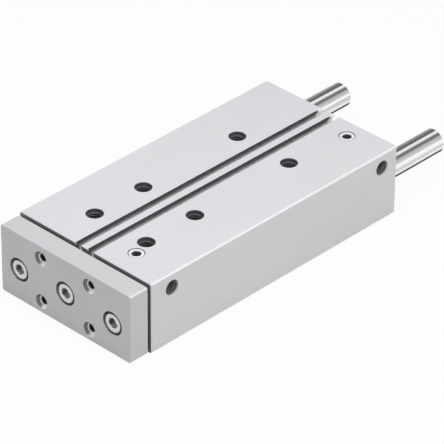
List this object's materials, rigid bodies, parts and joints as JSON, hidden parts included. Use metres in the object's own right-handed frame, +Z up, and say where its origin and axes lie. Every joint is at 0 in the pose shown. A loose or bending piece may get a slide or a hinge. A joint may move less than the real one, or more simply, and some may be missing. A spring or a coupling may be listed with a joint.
{
  "type": "guided pneumatic cylinder",
  "caption": "Compact guided pneumatic cylinder: a flat block housing with a front yoke plate carried by a piston rod and parallel guide rods that stand out at the rear.",
  "frame": {"origin": "centre of the housing's bottom mounting face", "axes": "+Z up out of the face with the sensor grooves, -Y the way the yoke plate extends, +X the side with the supply ports"},
  "size_m": [0.0544, 0.1394, 0.0241],
  "materials": {
    "anodised_housing": "clear-anodised extrusion, fine matt grain along its length, bright chamfers",
    "anodised_plate": "clear-anodised milled plate, matt",
    "turned_aluminium": "fine-turned",
    "bearing_bronze": "sintered bronze, matt",
    "seal_rubber": "black nitrile rubber, satin",
    "wiper_polyurethane": "dark polyurethane, satin",
    "band_plastic": "filled bearing plastic, matt",
    "magnet_compound": "plastic-bonded magnet, matt",
    "spring_steel": "blackened spring steel",
    "plug_steel": "bright zinc-plated steel",
    "chrome_rod": "ground and hard-chromed, mirror bright",
    "screw_steel": "bright zinc-plated steel"
  },
  "bodies": {
    "housing": {"housing_block": "anodised_housing", "front_bearing_cap": "turned_aluminium", "rear_cap": "turned_aluminium", "rod_bush": "bearing_bronze", "guide_bush_front_left": "bearing_bronze", "guide_bush_front_right": "bearing_bronze", "guide_bush_rear_left": "bearing_bronze", "guide_bush_rear_right": "bearing_bronze", "rod_seal": "seal_rubber", "front_cap_o_ring": "seal_rubber", "rear_cap_o_ring": "seal_rubber", "front_buffer": "seal_rubber", "rear_buffer": "seal_rubber", "guide_wiper_left": "wiper_polyurethane", "guide_wiper_right": "wiper_polyurethane", "front_retaining_ring": "spring_steel", "rear_retaining_ring": "spring_steel", "port_plug_front": "plug_steel", "port_plug_rear": "plug_steel"},
    "carriage": {"yoke_plate": "anodised_plate", "piston_rod": "chrome_rod", "piston": "turned_aluminium", "spigot_o_ring": "seal_rubber", "piston_seal": "seal_rubber", "piston_magnet": "magnet_compound", "piston_guide_band": "band_plastic", "piston_rod_screw": "screw_steel", "guide_rod_left": "chrome_rod", "guide_rod_right": "chrome_rod", "guide_rod_screw_left": "screw_steel", "guide_rod_screw_right": "screw_steel"}
  },
  "joints": [
    {"name": "stroke", "type": "slide", "parent": "housing", "child": "carriage", "axis": [0, -1, 0], "range_m": [0, 0.08]}
  ]
}
